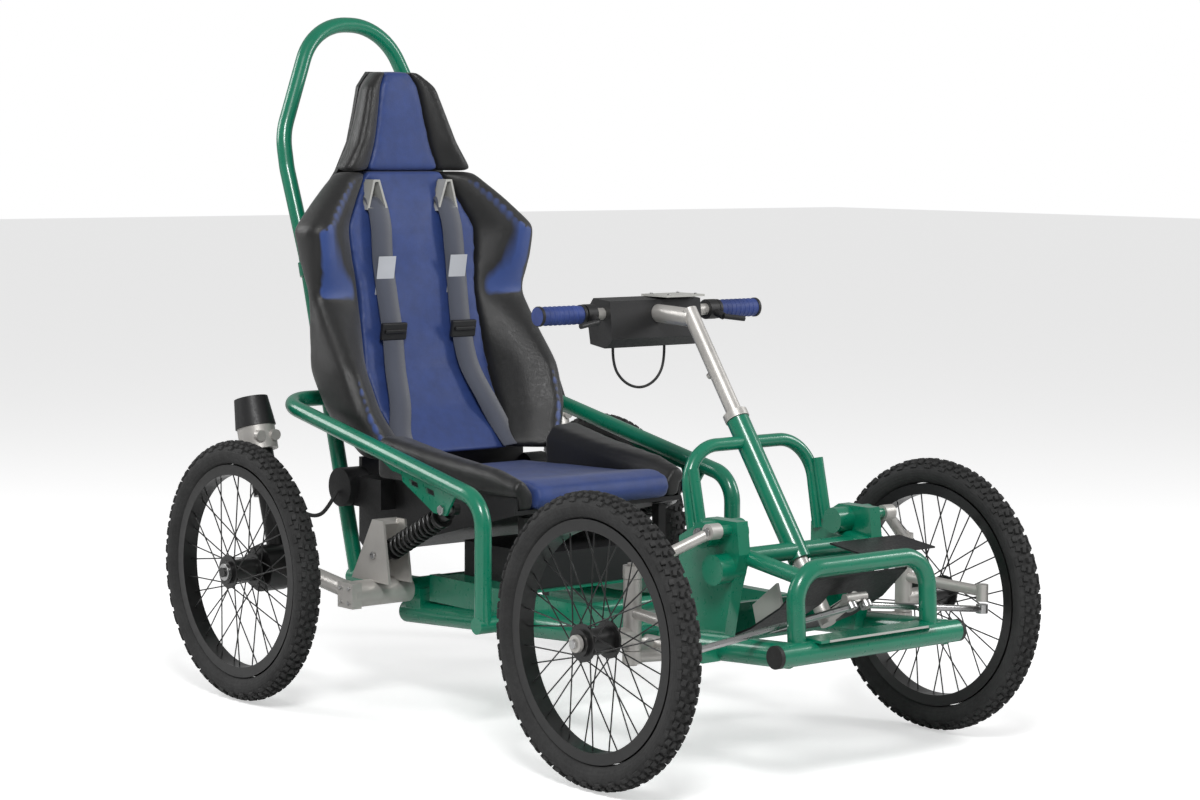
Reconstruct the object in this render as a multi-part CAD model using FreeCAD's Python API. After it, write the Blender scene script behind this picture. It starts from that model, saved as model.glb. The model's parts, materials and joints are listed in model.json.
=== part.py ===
"""All-terrain wheelchair: a four-wheeled open tube chassis with a bucket seat, handlebar steering on a
raked column, steered front wheels on arms, and driven rear wheels on swing arms.

Millimetres. +Z is up, the rider faces -Y, the rider's left is +X. The origin is on the ground, at the
middle of the overall width and length. Pieces on both sides are made for +X and mirrored to -X.
"""
import FreeCAD
import Part
import math
import os

V = FreeCAD.Vector
X, Y, Z = V(1, 0, 0), V(0, 1, 0), V(0, 0, 1)

# ---- driving dimensions -------------------------------------------------------------------------
WHEEL_R = 258.0             # outer radius of a 20 inch knobbly tyre
TYRE_W = 54.0
TYRE_WALL = 5.0
FRONT_AXLE_Y = -544.0
WHEELBASE = 1036.0
FRONT_TRACK = 828.0
REAR_TRACK = 932.0
GAP = 0.3                   # between pieces that seat on each other without being welded
RUN_GAP = 0.05              # radial running clearance of a shaft in its bearing
MOVE_GAP = 6.0              # between a moving piece and its neighbours
REAR_AXLE_Y = FRONT_AXLE_Y + WHEELBASE

# Lower chassis: the rails drop a little towards the rear, as (y, z) of their ends
RAIL_X = 190.0
RAIL_R = 22.5
RAIL_FRONT = (-786.0, 243.0)
RAIL_REAR = (312.0, 174.0)
CROSS_R = 20.0
CAP_X = RAIL_X + 26.0                # end of the front cross tube
TUBE_R = 16.0                       # side rails, hoops and outriggers
SHELF_Y = (-376.0, 224.0)
SHELF_Z = (206.0, 258.0)
SHELF_T = 24.0

# Front bumper hoop, tower and upper rails
BUMPER_X = 160.0
BUMPER_TOP_Z = 382.0
BUMPER_BEND = 58.0
UPPER_RAIL_X = 142.0
UPPER_RAIL_R = 14.0
TRAY_HALF = 126.0
TOWER_X = 152.0
TOWER_FOOT = (-501.0, 402.0)        # (y, z)
TOWER_TOP = (-471.0, 566.0)
TOWER_R = 12.0
TOWER_BEND = 76.0
SIDE_PLATE_X = (148.0, 174.0)

# Steering column, raked back, as points on its axis
HEAD_FOOT = V(0, -611.0, 368.0)
HEAD_TOP = V(0, -444.0, 604.0)
HEAD_R = 21.0
COLUMN_R = 14.5
STEM_R = 17.0
COLUMN_DROP = 120.0                 # how far the column runs on below the head tube
COLUMN_RISE = 236.0                 # and above it
PITMAN_L = 85.0                     # steering crank under the head tube
STUD_X = 18.0
BAR_Y = -197.0
BAR_Z = 788.0
BAR_HALF = 269.0
BAR_R = 11.0
GRIP_R = 17.0
GRIP_L = 106.0

# Side rails past the seat
SIDE_X = 310.0
SIDE_REAR_Z = 579.0
SIDE_FRONT_Y = -91.0
SIDE_FRONT_Z = 442.0
SIDE_BEND = 62.0
WEB_T = 5.0

# Back hoop behind the seat, as (y, z) of its corners
HOOP_X = 190.0
HOOP_FOOT = (484.0, 206.0)
HOOP_JOINT = (672.0, 868.0)
HOOP_SHOULDER = (742.0, 1045.0)
HOOP_NECK = (757.0, 1115.0)
HOOP_TOP = (795.0, 1347.0)
HOOP_TOP_X = 88.0

# Front arms and knuckles
KINGPIN_X = 332.0
KINGPIN_R = 9.0
LOWER_ARM_Z = 222.0
UPPER_ARM_Z = 370.0
EYE_R = 17.0
EYE_H = 22.0
KNUCKLE_ARM = (20.0, -180.0)        # from the kingpin to the steering arm's tip
LINK_EYE = (212.0, -615.0, 437.0)   # inner eye of the upper link

# Wheels
RIM_R = 210.0
RIM_IN_R = 190.0
RIM_W = 32.0
FLANGE_R = 33.0
HUB_R = 23.0
HUB_HALF = 36.0
FLANGE_X = 28.0
SPOKE_R = 1.3
SPOKES = 36
AXLE_R = 10.0

# Rear swing arms, shocks and drives
PIVOT_Y = 268.0
PIVOT_Z = 228.0
PIVOT_R = 26.0
PIVOT_X = (224.0, 362.0)
SHOCK_LOW = V(284.0, 256.0, 302.0)
SHOCK_HIGH = V(284.0, 34.0, 414.0)
SHOCK_R = 14.0
SPRING_R = 18.4
SPRING_WIRE_R = 3.2
SPRING_PITCH = 15.0
MOTOR_X = 376.0
MOTOR_LEAN = 17.2                   # degrees back from vertical
MOTOR_L = 344.0
MOTOR_R = 41.0
GEARBOX_R = 46.0
GEARBOX_X = (372.0, 424.0)

# Seat: one row a station up the backrest: height, front face on the centre plane, half width, and how
# far the side bolsters stand forward of that face
BACK = [(470.0, 396.0, 232.0, 62.0),
        (560.0, 462.0, 276.0, 96.0),
        (642.0, 506.0, 285.0, 104.0),
        (715.0, 522.0, 276.0, 60.0),
        (792.0, 536.0, 268.0, 14.0),
        (860.0, 548.0, 282.0, 46.0),
        (926.0, 558.0, 291.0, 62.0),
        (985.0, 572.0, 232.0, 44.0),
        (1040.0, 588.0, 168.0, 26.0)]
HEADREST = [(1041.0, 588.0, 166.0, 26.0),
            (1100.0, 592.0, 128.0, 26.0),
            (1160.0, 597.0, 106.0, 20.0),
            (1215.0, 602.0, 88.0, 12.0),
            (1246.0, 610.0, 52.0, 4.0)]
BACK_T = 62.0
SHELL_T = 10.0
PAD_SHARE = 0.55                    # of the half width that is centre pad
SEAT_FRONT_Y = -74.0
SEAT_TOP_Z = 460.0
SEAT_REAR_Y = 386.0
PAN_FRONT = (-54.0, 404.0)          # (y, z) along the underside of the seat pan
PAN_REAR = (431.0, 278.0)
PAN_HALF = 206.0
SLOT = [(62.0, 958.0), (116.0, 962.0), (100.0, 1024.0), (84.0, 1024.0)]     # harness slot, as (x, z)
STRAP_X = 90.0
STRAP_W = 50.0
STRAP_T = 3.0

HEAD_AXIS = (HEAD_TOP - HEAD_FOOT).normalize()
FORWARD = V(0, -HEAD_AXIS.z, HEAD_AXIS.y)       # square to the column, forward and up


# ---- helpers --------------------------------------------------------------------------------------
def rod(a, b, r):
    """Solid round bar from a to b."""
    return Part.makeCylinder(r, (b - a).Length, a, b - a)


def box(x0, x1, y0, y1, z0, z1):
    return Part.makeBox(x1 - x0, y1 - y0, z1 - z0, V(x0, y0, z0))


def bent(points, r, bend):
    """Solid round tube along straight runs joined by arcs. bend is one radius, or one per corner."""
    bends = bend if isinstance(bend, (list, tuple)) else [bend] * (len(points) - 2)
    edges, start = [], points[0]
    for before, corner, after, radius in zip(points, points[1:], points[2:], bends):
        into, out = (before - corner).normalize(), (after - corner).normalize()
        half = into.getAngle(out) / 2
        back = radius / math.tan(half)
        first, last = corner + into * back, corner + out * back
        middle = corner + (into + out).normalize() * (radius / math.sin(half) - radius)
        if (first - start).Length > 1e-6:
            edges.append(Part.LineSegment(start, first).toShape())
        edges.append(Part.Arc(first, middle, last).toShape())
        start = last
    if (points[-1] - start).Length > 1e-6:
        edges.append(Part.LineSegment(start, points[-1]).toShape())
    ring = Part.Wire([Part.makeCircle(r, points[0], points[1] - points[0])])
    return Part.Wire(edges).makePipeShell([ring], True, False).Solids[0]


def slab(outline, x0, x1):
    """A (y, z) outline pushed along X from x0 to x1."""
    points = [V(x0, y, z) for y, z in outline]
    return Part.Face(Part.makePolygon(points + points[:1])).extrude(V(x1 - x0, 0, 0))


def loft(rings):
    """Solid through closed rings of points, straight between them."""
    return Part.makeLoft([Part.makePolygon(ring + ring[:1]) for ring in rings], True, True)


def mirror(shape):
    return shape.mirror(V(0, 0, 0), X)


def both(shape):
    """The piece made for +X, and its twin on -X."""
    return [shape, mirror(shape)]


def fuse(shapes):
    return shapes[0].fuse(shapes[1:]).removeSplitter()


def cope(shape, *others):
    """shape cut back to the pieces it is welded to, without the small ends left inside a tube."""
    for other in others:
        shape = shape.cut(other)
    most = max(s.Volume for s in shape.Solids)
    return Part.makeCompound([s for s in shape.Solids if s.Volume > most / 10])


def along(a, b, y):
    """z at y on the straight line through the (y, z) points a and b."""
    return a[1] + (b[1] - a[1]) * (y - a[0]) / (b[0] - a[0])


def rail_z(y):
    return along(RAIL_FRONT, RAIL_REAR, y)


nodes = {}


# ---- lower frame ----------------------------------------------------------------------------------
front_y, front_z = RAIL_FRONT
side_pieces = []
for piece in (
        rod(V(RAIL_X, front_y, front_z), V(RAIL_X, RAIL_REAR[0], RAIL_REAR[1]), RAIL_R),
        box(RAIL_X - SHELF_T / 2, RAIL_X + SHELF_T / 2, SHELF_Y[0], SHELF_Y[1], SHELF_Z[0], SHELF_Z[1]),
        rod(V(RAIL_X, SIDE_FRONT_Y, 212), V(SIDE_X + TUBE_R, SIDE_FRONT_Y, 212), TUBE_R),
        box(RAIL_X - 20, RAIL_X + 20, PIVOT_Y - 24, PIVOT_Y + 24, 178, PIVOT_Z),
        rod(V(RAIL_X, PIVOT_Y, PIVOT_Z), V(RAIL_X, HOOP_FOOT[0] + 20, PIVOT_Z - 8), TUBE_R + 3),
        box(RAIL_X + 14, 244, -628, -615.3, 212, 242),
        box(RAIL_X + 14, 244, -464.7, -452, 212, 242)):
    side_pieces += both(piece)
lower_frame = fuse(side_pieces + [
    rod(V(-CAP_X, front_y, front_z), V(CAP_X, front_y, front_z), CROSS_R),
    rod(V(-RAIL_X, SHELF_Y[0], 232), V(RAIL_X, SHELF_Y[0], 232), TUBE_R),
    rod(V(-RAIL_X, SIDE_FRONT_Y, 212), V(RAIL_X, SIDE_FRONT_Y, 212), TUBE_R),
    rod(V(-PIVOT_X[0], PIVOT_Y, PIVOT_Z), V(PIVOT_X[0], PIVOT_Y, PIVOT_Z), CROSS_R),
    box(-RAIL_X, RAIL_X, -62, 196, SHELF_Z[1] - 4, SHELF_Z[1]),
    rod(V(0, SHELF_Y[0], 238), V(0, -544, 268), RAIL_R),
    box(-SIDE_PLATE_X[0], SIDE_PLATE_X[0], -548, -540, 222, 291),
    box(-140, 140, -812, -762, 261, 266)])
nodes["lower_frame"] = [lower_frame]
nodes["end_caps"] = both(rod(V(CAP_X + GAP, front_y, front_z), V(CAP_X + 8, front_y, front_z), CROSS_R))

# ---- steering head and front tower ----------------------------------------------------------------
head_solid = rod(HEAD_FOOT, HEAD_TOP, HEAD_R)
nodes["head_tube"] = [head_solid.cut(rod(HEAD_FOOT - HEAD_AXIS, HEAD_TOP + HEAD_AXIS, COLUMN_R + RUN_GAP))]

plate_outline = [(-600, 226), (-500, 224), (-484, 300), (-484, 412), (-556, 452), (-634, 452),
                 (-642, 395), (-622, 330)]
tower = [bent([V(TOWER_X, *TOWER_FOOT), V(TOWER_X, *TOWER_TOP), V(-TOWER_X, *TOWER_TOP),
               V(-TOWER_X, *TOWER_FOOT)], TOWER_R, TOWER_BEND)]
for piece in (
        slab(plate_outline, *SIDE_PLATE_X),
        rod(V(TOWER_X, TOWER_FOOT[0] - 19, 420), V(TOWER_X, TOWER_TOP[0] - 24, 530), TOWER_R - 2),
        rod(V(112, -576, 426), V(204, -576, 426), 23),
        rod(V(SIDE_PLATE_X[0], -606, 368), V(204, -606, 368), 27),
        rod(V(SIDE_PLATE_X[1], LINK_EYE[1], LINK_EYE[2]), V(LINK_EYE[0] - 12 - GAP, LINK_EYE[1], LINK_EYE[2]), 9),
        rod(V(UPPER_RAIL_X, -560, 397), V(UPPER_RAIL_X, -766, 368), UPPER_RAIL_R),
        rod(V(0, -603, 384), V(SIDE_PLATE_X[0] + 4, -603, 384), TUBE_R)):
    tower += both(piece)
tower = cope(fuse(tower), head_solid, lower_frame)

bumper = bent([V(BUMPER_X, -774, front_z), V(BUMPER_X, -766, BUMPER_TOP_Z), V(-BUMPER_X, -766, BUMPER_TOP_Z),
               V(-BUMPER_X, -774, front_z)], TUBE_R, BUMPER_BEND)
bumper = cope(bumper, lower_frame)
nodes["bumper_hoop"] = [bumper]
nodes["front_tower"] = cope(tower, bumper).Solids
nodes["tower_bolts"] = both(rod(V(204 + GAP, -576, 426), V(212, -576, 426), 13))

# ---- side rails and back hoop ---------------------------------------------------------------------
leg = [V(HOOP_X, *HOOP_FOOT), V(HOOP_X, *HOOP_JOINT), V(HOOP_X, *HOOP_SHOULDER), V(HOOP_X, *HOOP_NECK)]
top = V(HOOP_TOP_X, *HOOP_TOP)
hoop = both(bent(leg + [top, V(0, *HOOP_TOP)], TUBE_R, [90, 120, 150, 126]))
brace_z = 600.0
brace_y = HOOP_FOOT[0] + (HOOP_JOINT[0] - HOOP_FOOT[0]) * (brace_z - HOOP_FOOT[1]) / (HOOP_JOINT[1] - HOOP_FOOT[1])
brace = rod(V(-HOOP_X, brace_y, brace_z), V(HOOP_X, brace_y, brace_z), 12.5)
hoop = cope(fuse(hoop), lower_frame)
step = (leg[1] - leg[0]).normalize() * 44
sleeve = rod(leg[1] - step, leg[1] - step * 0.35, TUBE_R + 3.5)
hoop_sleeves = both(cope(sleeve, hoop))
nodes["back_hoop"] = [hoop]
nodes["hoop_sleeves"] = hoop_sleeves

rear_y = HOOP_FOOT[0] + (HOOP_JOINT[0] - HOOP_FOOT[0]) * (SIDE_REAR_Z - HOOP_FOOT[1]) / (HOOP_JOINT[1] - HOOP_FOOT[1])
rail_line = ((rear_y, SIDE_REAR_Z), (SIDE_FRONT_Y, SIDE_FRONT_Z))
rail = bent([V(HOOP_X, rear_y, SIDE_REAR_Z), V(SIDE_X, rear_y, SIDE_REAR_Z),
             V(SIDE_X, SIDE_FRONT_Y, SIDE_FRONT_Z), V(SIDE_X, SIDE_FRONT_Y, 212)], TUBE_R, [72, SIDE_BEND])
rail = cope(rail, hoop, lower_frame)
web = slab([(286, along(*rail_line, 286)), (188, 470), (60, 406), (22, 404), (-16, along(*rail_line, -16))],
           SIDE_X - WEB_T / 2, SIDE_X + WEB_T / 2)
for y in (72, 124, 176):
    z = along(*rail_line, y) - 30
    web = web.cut(slab([(y - 16, z - 9), (y + 12, z - 4), (y + 16, z + 8), (y - 12, z + 3)], SIDE_X - 9, SIDE_X + 9))
side_rail = fuse([rail, web])
nodes["side_rails"] = both(side_rail)

# ---- foot tray, footrests and battery ---------------------------------------------------------------
tray_line = [(-752, 362), (-693, 306), (-620, 262), (-548.3, 232)]
tray = slab(tray_line + [(y, z - 4) for y, z in tray_line[::-1]], -TRAY_HALF, TRAY_HALF)
tray = tray.cut(box(-27, 27, -712, -618, 240, 330))
nodes["foot_tray"] = [tray]
nodes["footwell_cover"] = [slab([(-655, 398.2), (-744, 387), (-744, 390), (-655, 401.2)], 30, 205)
                           .cut(head_solid)]
rest = slab([(y, along(*tray_line[1:3], y) + GAP + dz) for y, dz in ((-690, 0), (-626, 0), (-626, 6), (-690, 6))],
            40, 118)
rest = fuse([rest, slab([(-690, along(*tray_line[1:3], -690) + GAP), (-626, along(*tray_line[1:3], -626) + GAP),
                         (-616, 300), (-676, 346)], 112, 118)])
nodes["footrests"] = both(rest)
battery_z = SHELF_Z[1] + GAP
battery = box(-150, 150, -52, 186, battery_z, battery_z + 68)
nodes["battery_box"] = [battery.makeFillet(10, [e for e in battery.Edges if abs(e.BoundBox.ZLength) > 30])]

# ---- front arms, knuckles and wheels ----------------------------------------------------------------
kingpin = V(KINGPIN_X, FRONT_AXLE_Y, 0)


def eye(z, r, height):
    middle = V(kingpin.x, kingpin.y, z)
    return rod(middle - Z * (height / 2), middle + Z * (height / 2), r)


def bored(shape, z):
    return shape.cut(eye(z, KINGPIN_R + RUN_GAP, 4 * EYE_H))


lower_arm = fuse([rod(V(231, -615, 226), V(231, -465, 226), 14),
                  rod(V(231, -598, 226), V(kingpin.x, kingpin.y, LOWER_ARM_Z), 11),
                  rod(V(231, -482, 226), V(kingpin.x, kingpin.y, LOWER_ARM_Z), 11), eye(LOWER_ARM_Z, EYE_R, EYE_H)])
nodes["front_lower_arms"] = both(bored(lower_arm, LOWER_ARM_Z))
link_eye = V(*LINK_EYE)
upper_link = fuse([rod(link_eye - X * 12, link_eye + X * 12, 14),
                   rod(link_eye, V(kingpin.x, kingpin.y, UPPER_ARM_Z), 10), eye(UPPER_ARM_Z, EYE_R, EYE_H)])
nodes["front_upper_links"] = both(bored(upper_link, UPPER_ARM_Z))

pin_low, pin_high = LOWER_ARM_Z - EYE_H / 2, UPPER_ARM_Z + EYE_H / 2
barrel_low, barrel_high = pin_low + EYE_H + 1, pin_high - EYE_H - 1
arm_tip = V(kingpin.x + KNUCKLE_ARM[0], kingpin.y + KNUCKLE_ARM[1], 292)
axle_z = WHEEL_R
front_x = FRONT_TRACK / 2
knuckle = fuse([rod(kingpin + Z * (pin_low - 4), kingpin + Z * (pin_high + 4), KINGPIN_R),
                rod(kingpin + Z * barrel_low, kingpin + Z * barrel_high, 16),
                rod(kingpin + Z * axle_z, V(front_x - HUB_HALF - MOVE_GAP, kingpin.y, axle_z), 17),
                rod(kingpin + Z * axle_z, V(front_x + HUB_HALF + 10, kingpin.y, axle_z), AXLE_R),
                rod(V(front_x + HUB_HALF + 2, kingpin.y, axle_z), V(front_x + HUB_HALF + 10, kingpin.y, axle_z), 15),
                rod(kingpin + Z * 300, arm_tip, 10), rod(arm_tip + Z * 13, arm_tip - Z * 18, 11)])
nodes["knuckle_left"] = [knuckle]
nodes["knuckle_right"] = [mirror(knuckle)]


def wheel():
    """Tyre, rim and spoked hub about the X axis at the origin."""
    half = TYRE_W / 2
    middle = WHEEL_R - half
    tyre = Part.makeTorus(middle, half, V(), X).cut(Part.makeTorus(middle, half - TYRE_WALL, V(), X))
    tyre = tyre.cut(rod(-X * half, X * half, RIM_R + GAP))
    rim = rod(-X * (RIM_W / 2), X * (RIM_W / 2), RIM_R).cut(rod(-X * half, X * half, RIM_IN_R))
    parts = [rod(-X * HUB_HALF, X * HUB_HALF, HUB_R)]
    for side in (-1, 1):
        parts.append(rod(X * side * (FLANGE_X - 2), X * side * (FLANGE_X + 2), FLANGE_R))
    for i in range(SPOKES):
        side = 1 if i % 2 else -1
        lean = math.radians(44 if i % 4 < 2 else -44)
        a = 2 * math.pi * i / SPOKES
        start = V(side * FLANGE_X, (FLANGE_R - 4) * math.cos(a + lean), (FLANGE_R - 4) * math.sin(a + lean))
        reach = RIM_IN_R - 0.5
        parts.append(rod(start, V(side * 4, reach * math.cos(a), reach * math.sin(a)), SPOKE_R))
    hub = parts[0].fuse(parts[1:])
    return tyre, rim, hub.cut(rod(-X * 60, X * 60, AXLE_R + RUN_GAP))


made = wheel()
for place, x, y in (("front_left", front_x, FRONT_AXLE_Y), ("rear_left", REAR_TRACK / 2, REAR_AXLE_Y)):
    for piece, shape in zip(("tyre", "rim", "hub"), made):
        moved = shape.translated(V(x, y, WHEEL_R))
        nodes[piece + "_" + place] = [moved]
        nodes[piece + "_" + place.replace("left", "right")] = [mirror(moved)]

# ---- steering column, bar and tie rods ----------------------------------------------------------------
foot = HEAD_FOOT - HEAD_AXIS * COLUMN_DROP
crown = HEAD_TOP + HEAD_AXIS * COLUMN_RISE
tip = foot + FORWARD * PITMAN_L
bar = V(0, BAR_Y, BAR_Z)
ring = HEAD_TOP + HEAD_AXIS * 1.0
column = [rod(foot - HEAD_AXIS * 9, crown, COLUMN_R), rod(ring, ring + HEAD_AXIS * 14, 23),
          rod(foot, tip + FORWARD * 4, 10), rod(tip - X * (STUD_X + 7), tip + X * (STUD_X + 7), 8),
          rod(crown - HEAD_AXIS * 17, bar + Y * (BAR_R + 5), STEM_R),
          rod(HEAD_TOP + HEAD_AXIS * 106 - FORWARD * 22, HEAD_TOP + HEAD_AXIS * 106, 6)]
for side in (-1, 1):
    stud = tip + X * side * STUD_X
    column.append(rod(stud, stud - HEAD_AXIS * 24, 4))
bar_solid = rod(V(-BAR_HALF + 2, BAR_Y, BAR_Z), V(BAR_HALF - 2, BAR_Y, BAR_Z), BAR_R)
nodes["steering_column"] = [fuse(column).cut(bar_solid)]
nodes["handlebar"] = [bar_solid]
grip = rod(V(BAR_HALF - GRIP_L, BAR_Y, BAR_Z), V(BAR_HALF, BAR_Y, BAR_Z), GRIP_R)
nodes["grips"] = both(grip.cut(rod(V(0, BAR_Y, BAR_Z), V(BAR_HALF - 1.7, BAR_Y, BAR_Z), BAR_R + GAP)))
collar_x = BAR_HALF - GRIP_L - 24
lever = fuse([rod(V(collar_x, BAR_Y, BAR_Z), V(collar_x + 22, BAR_Y, BAR_Z), 19),
              rod(V(collar_x + 11, BAR_Y, BAR_Z), V(collar_x + 16, BAR_Y - 34, BAR_Z - 12), 7),
              rod(V(collar_x + 16, BAR_Y - 34, BAR_Z - 12), V(collar_x + 62, BAR_Y - 42, BAR_Z - 18), 5)])
nodes["levers"] = both(lever.cut(rod(V(0, BAR_Y, BAR_Z), V(BAR_HALF, BAR_Y, BAR_Z), BAR_R + GAP)))
pod_outline = [(BAR_Y - 30, 742), (BAR_Y - 22, 812), (BAR_Y + 26, 816), (BAR_Y + 46, 792), (BAR_Y + 34, 730),
               (BAR_Y - 8, 724)]
pod = slab(pod_outline, -116, 106)
pod = pod.cut(rod(V(-BAR_HALF, BAR_Y, BAR_Z), V(BAR_HALF, BAR_Y, BAR_Z), BAR_R + GAP))
nodes["control_pod"] = [pod.cut(rod(crown - HEAD_AXIS * 17, bar + Y * (BAR_R + 5 + GAP), STEM_R + GAP))
                        .cut(rod(foot, crown + HEAD_AXIS * 40, COLUMN_R + GAP))]
nodes["display_plate"] = [box(4, 98, BAR_Y - 44, BAR_Y + 30, 816 + GAP, 820 + GAP)]
nodes["pod_cable"] = [bent([V(-76, BAR_Y + 14, 726.6), V(-74, BAR_Y + 14, 660), V(46, BAR_Y + 14, 640),
                            V(50, BAR_Y + 14, 726.6)], 2.6, [38, 44])]

drop = arm_tip - Z * (18 + MOVE_GAP)
stud = tip + X * STUD_X - HEAD_AXIS * 17
tie = fuse([rod(stud + HEAD_AXIS * 5, stud - HEAD_AXIS * 5, 11), rod(stud, drop - Z * 9, 6), rod(drop, drop - Z * 16, 11)])
tie = tie.cut(rod(stud + HEAD_AXIS * 9, stud - HEAD_AXIS * 9, 4 + RUN_GAP))
nodes["tie_rod_left"] = [tie]
nodes["tie_rod_right"] = [mirror(tie)]

# ---- rear swing arms, shocks and drives ---------------------------------------------------------------
rear_axle = V(0, REAR_AXLE_Y, WHEEL_R)
pivot_in = V(PIVOT_X[0] + GAP, PIVOT_Y, PIVOT_Z)
pivot_out = V(PIVOT_X[1], PIVOT_Y, PIVOT_Z)
gearbox = rod(V(GEARBOX_X[0], REAR_AXLE_Y, WHEEL_R), V(GEARBOX_X[1], REAR_AXLE_Y, WHEEL_R), GEARBOX_R)
gearbox = gearbox.fuse(rod(V(GEARBOX_X[1], REAR_AXLE_Y, WHEEL_R),
                           V(REAR_TRACK / 2 + HUB_HALF + 8, REAR_AXLE_Y, WHEEL_R), AXLE_R)).removeSplitter()
swing = [rod(pivot_in, pivot_out, PIVOT_R), box(350, 372, PIVOT_Y - 25, PIVOT_Y + 25, PIVOT_Z - 25, PIVOT_Z + 25),
         rod(V(344, PIVOT_Y, PIVOT_Z), V(344, REAR_AXLE_Y + 14, WHEEL_R), 17),
         rod(V(330, REAR_AXLE_Y, WHEEL_R), V(GEARBOX_X[0], REAR_AXLE_Y, WHEEL_R), 24)]
for x in (SHOCK_LOW.x - 28, SHOCK_LOW.x + 23):
    swing.append(slab([(206, 250), (332, 250), (262, 372), (226, 372)], x, x + 5))
swing.append(slab([(314, 250), (332, 250), (262, 372), (252, 372), (246, 362)], SHOCK_LOW.x - 28, SHOCK_LOW.x + 28))
swing.append(rod(SHOCK_LOW - X * 28, SHOCK_LOW + X * 28, 5))
swing = fuse(swing)
nodes["rear_swing_arms"] = both(swing)
nodes["rear_gearboxes"] = both(cope(gearbox, swing))

down = (SHOCK_LOW - SHOCK_HIGH).normalize()
shock_l = (SHOCK_LOW - SHOCK_HIGH).Length
damper = fuse([rod(SHOCK_HIGH - X * 7, SHOCK_HIGH + X * 7, 12), rod(SHOCK_LOW - X * 9, SHOCK_LOW + X * 9, 12),
               rod(SHOCK_HIGH + down * 18, SHOCK_HIGH + down * (shock_l * 0.55), SHOCK_R), rod(SHOCK_HIGH, SHOCK_LOW, 7),
               rod(SHOCK_HIGH + down * 40, SHOCK_HIGH + down * 46, SPRING_R + 3.4),
               rod(SHOCK_LOW - down * 32, SHOCK_LOW - down * 26, SPRING_R + 3.4)])
damper = damper.cut(rod(SHOCK_LOW - X * 30, SHOCK_LOW + X * 30, 5 + GAP))
nodes["rear_dampers"] = both(damper)
coil_l = shock_l - 46 - 32 - 2 * SPRING_WIRE_R - 1.2
helix = Part.makeHelix(SPRING_PITCH, coil_l, SPRING_R)
wire_ring = Part.Wire([Part.makeCircle(SPRING_WIRE_R, V(SPRING_R, 0, 0), V(0, 1, 0))])
spring = Part.Wire(helix).makePipeShell([wire_ring], True, True).Solids[0]
spring.Placement = FreeCAD.Placement(SHOCK_HIGH + down * (46 + SPRING_WIRE_R + 0.6), FreeCAD.Rotation(Z, down))
nodes["rear_springs"] = both(spring)
bolt_in = SIDE_X - WEB_T / 2 - GAP
nodes["shock_bolts"] = both(rod(V(SHOCK_HIGH.x + 7 + GAP, SHOCK_HIGH.y, SHOCK_HIGH.z), V(bolt_in, SHOCK_HIGH.y, SHOCK_HIGH.z), 7))

lean = math.radians(MOTOR_LEAN)
motor_axis = V(0, math.sin(lean), math.cos(lean))
base = V(MOTOR_X, REAR_AXLE_Y, WHEEL_R)


def at_motor(t):
    return base + motor_axis * t


motor = fuse([rod(at_motor(30), at_motor(150), 18), rod(at_motor(146), at_motor(236), 27)])
nodes["motor_legs"] = both(cope(motor, gearbox, swing))
crown_piece = rod(at_motor(236 + GAP), at_motor(284), MOTOR_R - 3)
for side in (-1, 1):
    spot = at_motor(262) + V(side * 17, -30, 9)
    crown_piece = crown_piece.fuse(rod(spot, spot - Y * 12, 11))
nodes["motor_crowns"] = both(crown_piece.removeSplitter())
nodes["motor_caps"] = both(Part.makeCone(MOTOR_R, MOTOR_R - 7, MOTOR_L - 284 - GAP, at_motor(284 + GAP), motor_axis))

box_x = PAN_HALF + GAP
control = fuse([box(box_x, box_x + 34, 334, 440, 376, 436), rod(V(box_x, 452, 412), V(box_x + 52, 452, 412), 39)])
nodes["control_boxes"] = both(control)
nodes["motor_cables"] = both(bent([V(MOTOR_X - 28, 536, 398), V(318, 532, 384), V(300, 500, 344), V(286, 470, 380),
                                   V(box_x + 55, 458, 404)], 4, [12, 22, 22]))

# ---- seat ------------------------------------------------------------------------------------------
def section(z, y, half, lift, part):
    """One ring of a backrest piece at height z, as its outline on the +X side or right across."""
    pad, back = half * PAD_SHARE, y + BACK_T - SHELL_T
    if part == "pad":
        outline = [(-pad + GAP, y), (pad - GAP, y), (pad - GAP, back), (-pad + GAP, back)]
    elif part == "shell":
        outline = [(-0.8 * half, back + GAP), (0.8 * half, back + GAP), (0.8 * half, back + SHELL_T),
                   (-0.8 * half, back + SHELL_T)]
    else:
        outline = [(pad, y), (half * 0.70, y - lift * 0.62), (half * 0.86, y - lift), (half * 0.97, y - lift * 0.84),
                   (half, y - lift * 0.4), (half, y + 16), (half * 0.8, back), (pad, back)]
    return [V(x, yy, z) for x, yy in outline]


slot_cut = Part.Face(Part.makePolygon([V(x, 480, z) for x, z in SLOT + SLOT[:1]])).extrude(Y * 240)
pad = loft([section(*row, "pad") for row in BACK])
shell = loft([section(*row, "shell") for row in BACK + HEADREST[1:]])
for cut in both(slot_cut):
    pad, shell = pad.cut(cut), shell.cut(cut)
nodes["seat_back_pad"] = [pad]
nodes["seat_back_shell"] = [shell]
nodes["seat_back_bolsters"] = both(loft([section(*row, "bolster") for row in BACK]))
nodes["headrest_pad"] = [loft([section(*row, "pad") for row in HEADREST])]
nodes["headrest_sides"] = both(loft([section(*row, "bolster") for row in HEADREST]))

bezel = Part.Face(Part.makePolygon([V(x, 558, z) for x, z in SLOT + SLOT[:1]])).makeOffset2D(-GAP)
hole = Part.Face(Part.makePolygon([V(x, 558, z) for x, z in SLOT + SLOT[:1]])).makeOffset2D(-5)
nodes["harness_bezels"] = both(bezel.cut(hole).extrude(Y * 62))

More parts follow.
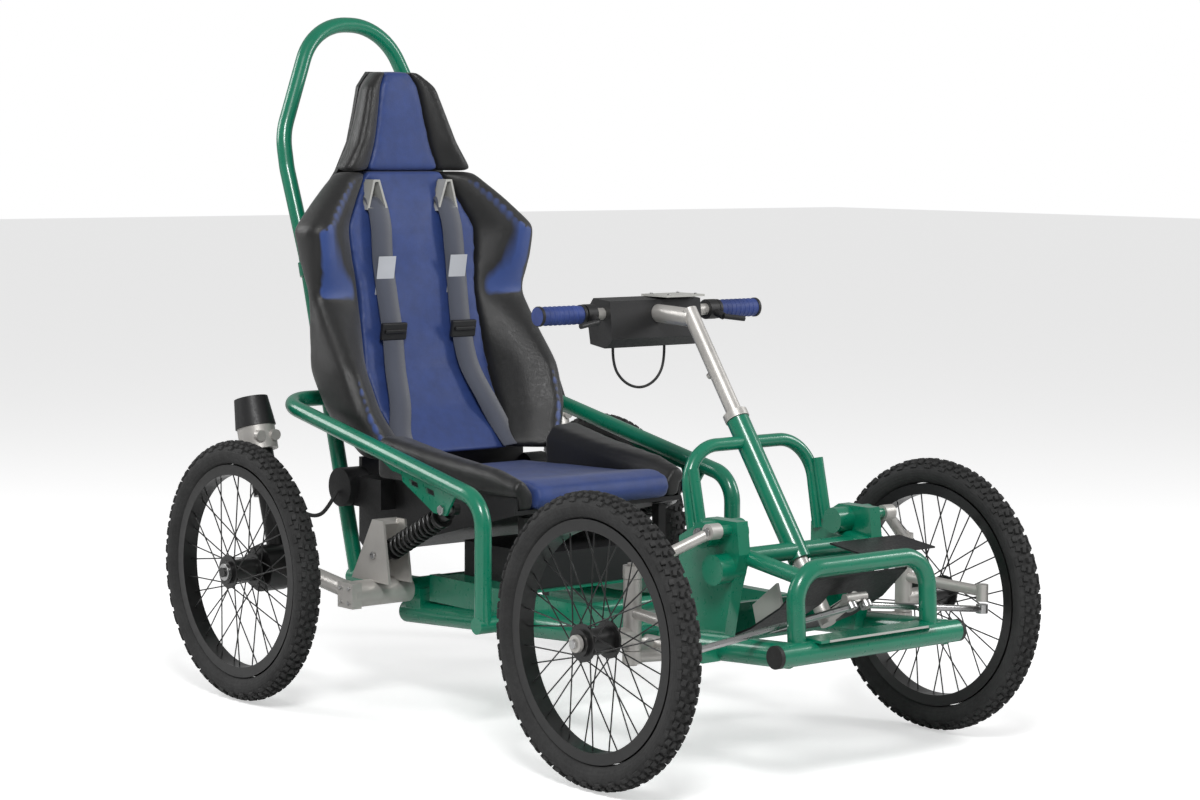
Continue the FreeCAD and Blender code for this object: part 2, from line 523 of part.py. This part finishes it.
pan = [(PAN_FRONT[0], PAN_FRONT[1]), PAN_REAR, (459, 300), (459, 469.7)]
inner = [(449, 469.7), (449, 304), (428, 287), (PAN_FRONT[0], PAN_FRONT[1] + 8.3)]
pan_solid = slab(pan + inner, -PAN_HALF, PAN_HALF)
side_wall = slab([pan[0], pan[1], pan[2], (459, 438), (PAN_FRONT[0], 436)], PAN_HALF - 6, PAN_HALF)
nodes["seat_pan"] = [fuse([pan_solid] + both(side_wall))]
cushion = slab([(SEAT_FRONT_Y + 8, 416), (SEAT_FRONT_Y, 432), (SEAT_FRONT_Y + 6, SEAT_TOP_Z - 6), (-30, SEAT_TOP_Z + 6),
                (60, SEAT_TOP_Z - 4), (SEAT_REAR_Y, SEAT_TOP_Z - 14), (420, 420), (424, 300), (400, 280), (-30, 396)],
               -164, 164)
cushion = cushion.cut(slab([(y, z + 0.6) for y, z in [inner[3], inner[2]]] + [(428, 200), (-60, 200)], -200, 200))
nodes["seat_cushion"] = [cushion.cut(box(-200, 200, 392, 470, 440, 520))]


def pan_z(y):
    return along(inner[3], inner[2], y) + 0.4


def thigh(y, out, high, low):
    return [V(x, y, z) for x, z in ((165, low), (PAN_HALF - 7, low), (PAN_HALF - 7, 438.5), (out, 442), (out, high - 14),
                                   (out - 16, high), (182, high - 6), (165, high - 30))]


nodes["thigh_bolsters"] = both(loft([thigh(SEAT_FRONT_Y + 14, 212, 470, pan_z(SEAT_FRONT_Y + 14)),
                                     thigh(10, 220, 488, pan_z(10)),
                                     thigh(180, 238, 506, pan_z(180)), thigh(329, 258, 528, pan_z(329))]))

shell_y = 483.0 + BACK_T + 5.0
brackets = both(rod(V(80, shell_y, brace_z), V(80, brace_y, brace_z), 8))
nodes["seat_brackets"] = cope(fuse([brace] + brackets), hoop).Solids
nodes["seat_posts"] = both(box(158, 176, -44, -24, SHELF_Z[1], along(PAN_FRONT, PAN_REAR, -24) - GAP))

# ---- harness -----------------------------------------------------------------------------------------
faces = [(z, y) for z, y, half, lift in BACK]


def face_y(z):
    for (z0, y0), (z1, y1) in zip(faces, faces[1:]):
        if z0 <= z <= z1:
            return y0 + (y1 - y0) * (z - z0) / (z1 - z0)


heights = [520.0] + [z for z, y in faces if 520 < z < SLOT[0][1] - 10] + [SLOT[0][1] - 3]
front = [(face_y(z) - GAP, z) for z in heights]
strap = slab(front + [(y - STRAP_T, z) for y, z in front[::-1]], STRAP_X - STRAP_W / 2, STRAP_X + STRAP_W / 2)
nodes["harness"] = both(strap)

# ---- one file a node ------------------------------------------------------------------------------
os.makedirs("parts", exist_ok=True)
for name, solids in nodes.items():
    shape = solids[0] if len(solids) == 1 else Part.makeCompound(solids)
    shape.exportStep("parts/" + name + ".step")
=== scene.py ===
"""All-terrain wheelchair: materials, tread, upholstery, straps and trim on the frame's nodes."""
import json
import math
import random

import bmesh
import bpy
from mathutils import Matrix, Vector


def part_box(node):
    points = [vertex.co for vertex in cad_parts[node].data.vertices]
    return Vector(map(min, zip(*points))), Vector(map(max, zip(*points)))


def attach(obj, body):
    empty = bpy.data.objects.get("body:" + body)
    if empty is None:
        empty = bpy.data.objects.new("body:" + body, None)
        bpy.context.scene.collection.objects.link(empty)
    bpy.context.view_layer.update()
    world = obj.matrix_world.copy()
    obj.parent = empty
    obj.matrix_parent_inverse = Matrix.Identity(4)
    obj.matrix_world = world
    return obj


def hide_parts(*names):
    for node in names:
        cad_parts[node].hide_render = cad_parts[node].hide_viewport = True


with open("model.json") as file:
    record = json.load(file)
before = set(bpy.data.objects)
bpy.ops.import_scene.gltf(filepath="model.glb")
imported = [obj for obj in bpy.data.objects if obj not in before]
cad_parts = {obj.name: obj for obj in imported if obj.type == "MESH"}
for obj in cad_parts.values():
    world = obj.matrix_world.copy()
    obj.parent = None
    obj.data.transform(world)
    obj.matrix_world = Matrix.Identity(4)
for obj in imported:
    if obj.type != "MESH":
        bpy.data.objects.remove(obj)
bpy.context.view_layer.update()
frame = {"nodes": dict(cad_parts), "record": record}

NODES = frame["nodes"]
SIDES = (("left", 1), ("right", -1))
random.seed(4)


# ---- shader nodes ---------------------------------------------------------------------------------
class Shader:
    """A material's node tree with short calls for the nodes used here."""

    def __init__(self, name):
        self.mat = bpy.data.materials.new(name)
        self.mat.use_nodes = True
        self.tree = self.mat.node_tree
        self.bsdf = next(n for n in self.tree.nodes if n.type == "BSDF_PRINCIPLED")

    def node(self, kind, inputs=(), **props):
        n = self.tree.nodes.new(kind)
        for key, value in props.items():
            setattr(n, key, value)
        for key, value in dict(inputs).items():
            self.put(n.inputs[key], value)
        return n

    def put(self, socket, value):
        if isinstance(value, bpy.types.NodeSocket):
            self.tree.links.new(value, socket)
        else:
            socket.default_value = value

    def set(self, **values):
        for key, value in values.items():
            self.put(self.bsdf.inputs[key.replace("_", " ")], value)
        return self

    def noise(self, scale, detail=4.0, rough=0.55):
        at = self.node("ShaderNodeTexCoord").outputs["Object"]
        return self.node("ShaderNodeTexNoise", {"Vector": at, "Scale": scale, "Detail": detail,
                                                "Roughness": rough}).outputs["Fac"]

    def ramp(self, value, low, high, a=0.3, b=0.7):
        n = self.node("ShaderNodeMapRange", {"Value": value, "From Min": a, "From Max": b, "To Min": low,
                                             "To Max": high})
        return n.outputs["Result"]

    def mix(self, fac, a, b):
        n = self.node("ShaderNodeMix", data_type="RGBA")
        self.put(n.inputs[0], fac)
        self.put(n.inputs[6], a)
        self.put(n.inputs[7], b)
        return n.outputs[2]

    def bump(self, height, strength, distance=0.001):
        n = self.node("ShaderNodeBump", {"Height": height, "Strength": strength, "Distance": distance})
        self.put(self.bsdf.inputs["Normal"], n.outputs["Normal"])
        return self


def colour(r, g, b):
    return (r, g, b, 1.0)


def paint(name, base, rough=0.28, metal=0.0, coat=0.5, grain=60.0, strength=0.08):
    s = Shader(name)
    n = s.noise(grain, 3.0)
    dark = tuple(c * 0.82 for c in base[:3]) + (1.0,)
    s.set(Base_Color=s.mix(s.ramp(s.noise(7.0), 0.0, 1.0), dark, base), Metallic=metal,
          Roughness=s.ramp(n, rough * 0.85, rough * 1.2), Coat_Weight=coat, Coat_Roughness=0.12)
    return s.bump(n, strength, 0.0006).mat


def leather(name, base, rough, rim=None):
    """Grained upholstery. rim is a second colour for faces that look straight ahead."""
    s = Shader(name)
    at = s.node("ShaderNodeTexCoord").outputs["Object"]
    cells = s.node("ShaderNodeTexVoronoi", {"Vector": at, "Scale": 520.0}, feature="DISTANCE_TO_EDGE")
    creases = s.noise(9.0, 5.0, 0.6)
    tint = s.mix(s.ramp(s.noise(26.0, 6.0, 0.7), 0.0, 1.0), tuple(c * 0.7 for c in base[:3]) + (1.0,), base)
    if rim:
        normal = s.node("ShaderNodeNewGeometry").outputs["Normal"]
        dot = s.node("ShaderNodeVectorMath", {0: normal, 1: (0.0, -1.0, 0.0)}, operation="DOT_PRODUCT")
        tint = s.mix(s.ramp(dot.outputs["Value"], 0.0, 1.0, 0.9, 0.95), tint, rim)
    grain = s.node("ShaderNodeMath", {0: s.ramp(cells.outputs["Distance"], 0.0, 0.25, 0.0, 0.4), 1: creases},
                   operation="ADD").outputs[0]
    s.set(Base_Color=tint, Roughness=s.ramp(creases, rough * 0.85, rough * 1.25), Sheen_Weight=0.15)
    return s.bump(grain, 0.35, 0.0022).mat


def webbing(name, base):
    s = Shader(name)
    at = s.node("ShaderNodeTexCoord").outputs["Object"]
    rib = s.node("ShaderNodeTexWave", {"Vector": at, "Scale": 130.0, "Distortion": 0.6}, bands_direction="X")
    s.set(Base_Color=s.mix(rib.outputs["Fac"], tuple(c * 0.7 for c in base[:3]) + (1.0,), base), Roughness=0.75,
          Sheen_Weight=0.3)
    return s.bump(rib.outputs["Fac"], 0.4, 0.0006).mat


def rubber(name, base, rough=0.72):
    s = Shader(name)
    n = s.noise(140.0, 6.0, 0.7)
    s.set(Base_Color=s.mix(s.ramp(s.noise(14.0, 6.0), 0.0, 1.0), base, tuple(c * 2.2 for c in base[:3]) + (1.0,)),
          Roughness=s.ramp(n, rough * 0.85, min(1.0, rough * 1.2)))
    return s.bump(n, 0.5, 0.0012).mat


GREEN = paint("frame_green", colour(0.0, 0.21, 0.115), 0.3, 0.0, 0.6, 90.0, 0.05)
SILVER = paint("silver_cast", colour(0.62, 0.60, 0.57), 0.42, 0.55, 0.0, 120.0, 0.2)
STEEL = paint("steel", colour(0.55, 0.55, 0.55), 0.3, 1.0, 0.0, 160.0, 0.1)
BLACK = paint("black_metal", colour(0.012, 0.012, 0.012), 0.35, 0.2, 0.3, 80.0, 0.1)
PLASTIC = paint("black_plastic", colour(0.014, 0.014, 0.015), 0.45, 0.0, 0.0, 220.0, 0.15)
GREY = paint("grey_plastic", colour(0.52, 0.52, 0.49), 0.5, 0.0, 0.0, 120.0, 0.1)
TYRE = rubber("tyre", colour(0.014, 0.014, 0.014))
RUBBER = rubber("rubber", colour(0.012, 0.012, 0.012), 0.6)
GRIP = rubber("blue_grip", colour(0.018, 0.035, 0.14), 0.5)
BLUE = leather("blue_cloth", colour(0.026, 0.06, 0.235), 0.46)
HIDE = leather("black_leather", colour(0.012, 0.012, 0.012), 0.36, colour(0.032, 0.07, 0.25))
DARK_HIDE = leather("black_hide", colour(0.012, 0.012, 0.012), 0.36)
WEB = webbing("webbing", colour(0.085, 0.095, 0.13))
PATCH = paint("patch", colour(0.62, 0.64, 0.68), 0.7, 0.0, 0.0, 300.0, 0.2)

BY_SLOT = {"frame_green": GREEN, "silver": SILVER, "steel": STEEL, "black_metal": BLACK, "black_plastic": PLASTIC,
           "grey_plastic": GREY, "tyre": TYRE, "rubber": RUBBER, "blue_grip": GRIP, "blue_cloth": BLUE,
           "black_leather": HIDE, "webbing": WEB}
for row in frame["record"]["subparts"]:
    mesh = NODES[row["node"]].data
    mesh.materials.clear()
    mesh.materials.append(BY_SLOT[row["material_slot"]])
for node in ("headrest_sides", "thigh_bolsters", "seat_back_shell"):
    NODES[node].data.materials[0] = DARK_HIDE


# ---- mesh helpers -----------------------------------------------------------------------------------
def new_mesh(name, verts, faces, mat, body=None, smooth=True):
    mesh = bpy.data.meshes.new(name)
    mesh.from_pydata([tuple(v) for v in verts], [], faces)
    mesh.validate()
    mesh.materials.append(mat)
    for p in mesh.polygons:
        p.use_smooth = smooth
    return place(bpy.data.objects.new(name, mesh), body)


def place(obj, body=None):
    if obj.name not in bpy.context.scene.collection.objects:
        bpy.context.scene.collection.objects.link(obj)
    if body:
        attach(obj, body)
    return obj


def cylinder(name, a, b, r, mat, body, sides=24, r2=None):
    """Capped cylinder or cone from a to b, with a small bevel."""
    a, b = Vector(a), Vector(b)
    bm = bmesh.new()
    bmesh.ops.create_cone(bm, cap_ends=True, segments=sides, radius1=r, radius2=r if r2 is None else r2,
                          depth=(b - a).length)
    turn = (b - a).to_track_quat("Z", "Y").to_matrix().to_4x4()
    bm.transform(Matrix.Translation((a + b) / 2) @ turn)
    mesh = bpy.data.meshes.new(name)
    bm.to_mesh(mesh)
    bm.free()
    mesh.materials.append(mat)
    obj = place(bpy.data.objects.new(name, mesh), body)
    bevel(obj, min(0.0012, r * 0.2))
    return obj


def bevel(obj, width, segments=2):
    m = obj.modifiers.new("edge", "BEVEL")
    m.width, m.segments, m.limit_method, m.angle_limit = width, segments, "ANGLE", math.radians(40)
    m.harden_normals = True
    for p in obj.data.polygons:
        p.use_smooth = True


def box_mesh(name, centre, size, mat, body, rot=None, width=0.002):
    bm = bmesh.new()
    bmesh.ops.create_cube(bm, size=1.0)
    bm.transform(Matrix.Translation(centre) @ (rot or Matrix()) @ Matrix.Diagonal((*size, 1.0)))
    mesh = bpy.data.meshes.new(name)
    bm.to_mesh(mesh)
    bm.free()
    mesh.materials.append(mat)
    obj = place(bpy.data.objects.new(name, mesh), body)
    bevel(obj, width, 3)
    return obj


# ---- hard nodes: soft edges -------------------------------------------------------------------------
for node in ("control_pod", "battery_box", "control_boxes", "seat_pan", "display_plate", "levers", "footrests",
             "foot_tray", "motor_caps", "motor_crowns", "rear_swing_arms", "front_lower_arms", "front_upper_links",
             "knuckle_left", "knuckle_right"):
    bevel(NODES[node], 0.0035 if node in ("control_pod", "battery_box") else 0.0012, 3)

# ---- tyres with knobs ---------------------------------------------------------------------------------
OUTER, CARCASS, HALF, BEAD = 0.2575, 0.2512, 0.0262, 0.2105


def tyre_mesh():
    verts, faces = [], []
    rings, steps = 120, 22
    middle = (CARCASS + BEAD) / 2 + 0.002
    for i in range(rings):
        a = 2 * math.pi * i / rings
        for j in range(steps):
            t = math.radians(-150 + 300 * j / (steps - 1))
            r = middle + (CARCASS - middle) * math.cos(t) if abs(t) < math.pi / 2 else middle + 0.0245 * math.cos(t)
            verts.append((HALF * 0.97 * math.sin(t), r * math.sin(a), r * math.cos(a)))
    for i in range(rings):
        for j in range(steps):
            k = (j + 1) % steps
            faces.append((i * steps + j, (i + 1) % rings * steps + j, (i + 1) % rings * steps + k, i * steps + k))

    def knob(a, x, along, wide, tall, tilt, twist):
        """Block on the tread at angle a, leaning out with the carcass by tilt. The argument x is not used."""
        base = len(verts)
        r = middle + (CARCASS - middle) * math.cos(tilt)
        out = Vector((math.sin(tilt), 0, math.cos(tilt)))
        side = Vector((math.cos(tilt), 0, -math.sin(tilt)))
        spin = Matrix.Rotation(-a, 3, "X")
        for h, shrink in ((-0.003, 1.0), (tall * 0.8, 0.92), (tall, 0.8)):
            for sx, sy in ((-1, -1), (1, -1), (1, 1), (-1, 1)):
                flat = Matrix.Rotation(twist, 2) @ Vector((sx * wide * shrink / 2, sy * along * shrink / 2))
                p = Vector((HALF * 0.97 * math.sin(tilt), 0, r)) + out * h + side * flat.x
                verts.append(spin @ (p + Vector((0, flat.y, 0))))
        for lift in (0, 4):
            for q in range(4):
                faces.append((base + lift + q, base + lift + (q + 1) % 4, base + lift + 4 + (q + 1) % 4,
                              base + lift + 4 + q))
        faces.append(tuple(base + 8 + q for q in range(4)))

    count = 84
    for i in range(count):
        a = 2 * math.pi * i / count
        near = random.uniform(-0.05, 0.05)
        if i % 2:
            for s in (-1, 1):
                knob(a, 0, 0.0105, 0.0082, OUTER - CARCASS - 0.0003, s * 0.22 + near * 0.2, s * 0.35)
        else:
            knob(a, 0, 0.0095, 0.0115, OUTER - CARCASS, near * 0.3, 0.1)
        for s in (-1, 1):
            knob(a + math.pi / count * 0.6, 0, 0.0112, 0.009, 0.0052, s * (0.62 + near * 0.5), s * 0.25)
            if i % 2 == 0:
                knob(a, 0, 0.015, 0.008, 0.0036, s * 0.98, 0.0)
    return verts, faces


tyre_data = None
for where in ("front_left", "front_right", "rear_left", "rear_right"):
    lo, hi = (Vector(c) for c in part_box("tyre_" + where))
    if tyre_data is None:
        first = new_mesh("tread_" + where, *tyre_mesh(), TYRE, smooth=False)
        tyre_data, obj = first.data, first
    else:
        obj = place(bpy.data.objects.new("tread_" + where, tyre_data))
    obj.location = (lo + hi) / 2
    bpy.context.view_layer.update()
    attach(obj, "wheel_" + where)
    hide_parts("tyre_" + where)

# ---- upholstery -----------------------------------------------------------------------------------------
SOFT = {"seat_back_pad": (0.006, 6, 0.8), "seat_back_bolsters": (0.007, 30, 0.85), "headrest_pad": (0.005, 26, 0.8),
        "headrest_sides": (0.005, 30, 0.8), "seat_cushion": (0.006, 14, 0.8), "thigh_bolsters": (0.006, 14, 0.8)}
for node, (voxel, passes, fill) in SOFT.items():
    obj = NODES[node]
    m = obj.modifiers.new("cells", "REMESH")
    m.mode, m.voxel_size, m.use_smooth_shade = "VOXEL", voxel, True
    m = obj.modifiers.new("round", "SMOOTH")
    m.factor, m.iterations = 0.5, passes
    m = obj.modifiers.new("fine", "SUBSURF")
    m.levels = m.render_levels = 1


# ---- harness ----------------------------------------------------------------------------------------------
FACE = [(0.470, 0.396), (0.560, 0.462), (0.642, 0.506), (0.715, 0.522), (0.792, 0.536), (0.860, 0.548),
        (0.926, 0.558), (0.985, 0.572), (1.040, 0.588)]


def face_y(z):
    for (z0, y0), (z1, y1) in zip(FACE, FACE[1:]):
        if z <= z1:
            return y0 + (y1 - y0) * (z - z0) / (z1 - z0)
    return FACE[-1][1]


def ribbon(name, points, width, thick, mat, body, across=(1, 0, 0)):
    """Flat strap along points, rounded between them."""
    across = Vector(across).normalized()
    pts = [Vector(p) for p in points]
    line = []
    for i in range(len(pts) - 1):
        p0, p1, p2, p3 = pts[max(i - 1, 0)], pts[i], pts[i + 1], pts[min(i + 2, len(pts) - 1)]
        for k in range(8):
            t = k / 8
            line.append(0.5 * ((2 * p1) + (p2 - p0) * t + (2 * p0 - 5 * p1 + 4 * p2 - p3) * t * t
                               + (3 * p1 - p0 - 3 * p2 + p3) * t ** 3))
    line.append(pts[-1])
    verts, faces = [], []
    for i, p in enumerate(line):
        d = (line[min(i + 1, len(line) - 1)] - line[max(i - 1, 0)]).normalized()
        n = d.cross(across).normalized()
        side = n.cross(d).normalized()
        for sx, sn in ((-1, 0), (1, 0), (1, 1), (-1, 1)):
            verts.append(p + side * sx * width / 2 + n * sn * thick)
    for i in range(len(line) - 1):
        for q in range(4):
            faces.append((4 * i + q, 4 * i + (q + 1) % 4, 4 * i + 4 + (q + 1) % 4, 4 * i + 4 + q))
    faces += [(3, 2, 1, 0), tuple(4 * (len(line) - 1) + q for q in range(4))]
    obj = new_mesh(name, verts, faces, mat, body)
    obj["length"] = sum((b - a).length for a, b in zip(line, line[1:]))
    return obj


for side, s in SIDES:
    top = [(s * 0.088, 0.622, 0.985), (s * 0.088, 0.585, 0.987), (s * 0.088, 0.566, 0.975)]
    down = [(s * x, face_y(z) - gap, z) for x, z, gap in ((0.09, 0.93, 0.012), (0.092, 0.86, 0.01), (0.09, 0.79, 0.01),
                                                        (0.088, 0.715, 0.012), (0.094, 0.64, 0.014), (0.11, 0.57, 0.016))]
    end = [(s * 0.128, 0.425, 0.515), (s * 0.134, 0.392, 0.478)]
    strap = ribbon("harness_" + side, top + down + end, 0.05, 0.0022, WEB, "chassis")
    lean = Matrix.Rotation(math.atan2(0.014, 0.075), 4, "X")
    patch = box_mesh("harness_patch_" + side, (s * 0.091, face_y(0.826) - 0.0128, 0.826), (0.043, 0.0012, 0.085), PATCH,
                     "chassis", lean, 0.0004)
    box_mesh("harness_adjuster_" + side, (s * 0.0885, face_y(0.715) - 0.018, 0.715), (0.062, 0.010, 0.036), PLASTIC,
             "chassis", lean, 0.003)
    box_mesh("harness_bar_" + side, (s * 0.0885, face_y(0.715) - 0.0245, 0.715), (0.05, 0.006, 0.008), PLASTIC,
             "chassis", lean, 0.002)
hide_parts("harness")


# ---- cables ---------------------------------------------------------------------------------------------------
def cable(name, points, r, body):
    """Round cable on one smooth spline that has points as its control points."""
    curve = bpy.data.curves.new(name, "CURVE")
    curve.dimensions, curve.resolution_u = "3D", 16
    spline = curve.splines.new("NURBS")
    spline.points.add(len(points) - 1)
    for p, q in zip(spline.points, points):
        p.co = (*q, 1)
    spline.order_u, spline.use_endpoint_u = 3, True
    probe = bpy.data.objects.new("probe", curve.copy())
    bare = bpy.data.meshes.new_from_object(probe)
    length = sum((bare.vertices[e.vertices[0]].co - bare.vertices[e.vertices[1]].co).length for e in bare.edges)
    bpy.data.meshes.remove(bare)
    bpy.data.curves.remove(probe.data)
    curve.materials.append(RUBBER)
    curve.bevel_depth, curve.bevel_resolution, curve.use_fill_caps = r, 6, True
    obj = place(bpy.data.objects.new(name, curve), body)
    return obj, length


lengths = {}
pod, lengths["pod"] = cable("pod_loop", [(-0.078, -0.183, 0.728), (-0.080, -0.184, 0.690), (-0.052, -0.186, 0.655),
                                         (-0.012, -0.188, 0.643), (0.028, -0.186, 0.658), (0.049, -0.184, 0.692),
                                         (0.048, -0.183, 0.729)], 0.0026, "steering")
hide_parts("pod_cable")
for side, s in SIDES:
    obj, lengths[side] = cable("motor_cable_" + side, [(s * 0.352, 0.535, 0.402), (s * 0.330, 0.528, 0.386),
                                                       (s * 0.308, 0.505, 0.356), (s * 0.288, 0.478, 0.352),
                                                       (s * 0.274, 0.460, 0.380), (s * 0.262, 0.455, 0.404)],
                               0.004, "chassis")
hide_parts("motor_cables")

# ---- trim and fixings ---------------------------------------------------------------------------------------
for side, s in SIDES:
    cylinder("axle_nut_front_" + side, (s * 0.4605, -0.544, 0.258), (s * 0.466, -0.544, 0.258), 0.009, STEEL,
             "knuckle_" + side, 6)
    cylinder("hub_cap_rear_" + side, (s * 0.5005, 0.492, 0.258), (s * 0.506, 0.492, 0.258), 0.017, STEEL, "wheel_rear_" + side)
    for i in range(4):
        a = math.pi / 2 * i + 0.4
        y, z = 0.492 + 0.033 * math.cos(a), 0.258 + 0.033 * math.sin(a)
        cylinder(f"gearbox_bolt_{side}_{i}", (s * 0.3715, y, z), (s * 0.3665, y, z), 0.0045, STEEL, "chassis", 6)
    for dy, dz in ((-0.014, -0.014), (0.014, -0.014), (0.014, 0.014), (-0.014, 0.014)):
        cylinder(f"pivot_screw_{side}_{dy}_{dz}", (s * 0.3715, 0.268 + dy, 0.228 + dz),
                 (s * 0.3755, 0.268 + dy, 0.228 + dz), 0.0035, STEEL, "chassis", 12)
    cylinder("shock_pin_" + side, (s * 0.3125, 0.034, 0.414), (s * 0.318, 0.034, 0.414), 0.010, STEEL, "chassis", 6)
    cylinder("link_pin_" + side, (s * 0.2245, -0.615, 0.437), (s * 0.229, -0.615, 0.437), 0.008, STEEL, "chassis", 6)
    cylinder("shock_low_pin_" + side, (s * 0.312, 0.256, 0.302), (s * 0.318, 0.256, 0.302), 0.008, STEEL, "chassis", 6)
    for end, x0, x1 in (("inner", 0.163, 0.170), ("outer", 0.2622, 0.2686)):
        cylinder(f"grip_ring_{end}_{side}", (s * x0, -0.197, 0.788), (s * x1, -0.197, 0.788), 0.0185, PLASTIC, "steering", 32)
    for i in range(7):
        x = 0.182 + i * 0.011
        cylinder(f"grip_rib_{side}_{i}", (s * x, -0.197, 0.788), (s * (x + 0.004), -0.197, 0.788), 0.0178, GRIP, "steering", 32)
for i, (x, y) in enumerate(((0.018, -0.23), (0.084, -0.23), (0.018, -0.18), (0.084, -0.18))):
    cylinder(f"plate_screw_{i}", (x, y, 0.8203), (x, y, 0.8225), 0.003, STEEL, "steering", 12)
box_mesh("bumper_badge", (0.0, -0.8125, 0.2635), (0.24, 0.0008, 0.004), GREY, "chassis", None, 0.0002)

# ---- stage, light and camera ------------------------------------------------------------------------------
scene = bpy.context.scene
bm = bmesh.new()
bmesh.ops.create_grid(bm, x_segments=2, y_segments=2, size=30)
floor_mesh = bpy.data.meshes.new("floor")
bm.to_mesh(floor_mesh)
bm.free()
white = Shader("floor_white").set(Base_Color=colour(0.85, 0.85, 0.85), Roughness=0.9, Emission_Color=colour(1, 1, 1))
seen = white.node("ShaderNodeLightPath").outputs["Is Camera Ray"]
white.set(Emission_Strength=white.ramp(seen, 0.0, 0.5, 0.0, 1.0))
floor_mesh.materials.append(white.mat)
floor = place(bpy.data.objects.new("floor", floor_mesh))
floor.location.z = -0.0005

world = bpy.data.worlds.new("studio")
world.use_nodes = True
sky = world.node_tree.nodes["Background"]
sky.inputs["Color"].default_value = (1.0, 1.0, 1.0, 1.0)
rays = world.node_tree.nodes.new("ShaderNodeLightPath")
level = world.node_tree.nodes.new("ShaderNodeMapRange")
level.inputs["To Min"].default_value, level.inputs["To Max"].default_value = 0.34, 1.0
world.node_tree.links.new(rays.outputs["Is Camera Ray"], level.inputs["Value"])
world.node_tree.links.new(level.outputs["Result"], sky.inputs["Strength"])
scene.world = world


def area(name, at, aim, size, power):
    data = bpy.data.lights.new(name, "AREA")
    data.shape, data.size, data.size_y, data.energy = "RECTANGLE", size[0], size[1], power
    obj = bpy.data.objects.new(name, data)
    scene.collection.objects.link(obj)
    obj.location = at
    obj.rotation_euler = (Vector(aim) - Vector(at)).to_track_quat("-Z", "Y").to_euler()
    return obj


area("key", (-2.2, -2.8, 3.6), (0, 0, 0.6), (1.2, 1.2), 120)
area("side", (3.6, -2.2, 2.4), (0, 0, 0.6), (1.0, 2.0), 60)
area("back", (-2.4, 3.2, 2.6), (0, 0.2, 0.8), (1.4, 2.0), 55)

AZ, EL, ROLL = math.radians(-39.627), math.radians(5.268), math.radians(0.356)
back = Vector((math.sin(AZ) * math.cos(EL), -math.cos(AZ) * math.cos(EL), math.sin(EL)))
right = Vector((math.cos(AZ), math.sin(AZ), 0))
up = back.cross(right)
turned = right * math.cos(ROLL) + up * math.sin(ROLL)
upright = up * math.cos(ROLL) - right * math.sin(ROLL)
camera = bpy.data.objects.new("camera", bpy.data.cameras.new("camera"))
scene.collection.objects.link(camera)
camera.matrix_world = Matrix.Translation((-3.4416, -4.2084, 1.1086)) @ Matrix((turned, upright, back)).transposed().to_4x4()
camera.data.sensor_width, camera.data.lens = 36.0, 84.79
scene.camera = camera
scene.view_settings.view_transform = "Standard"
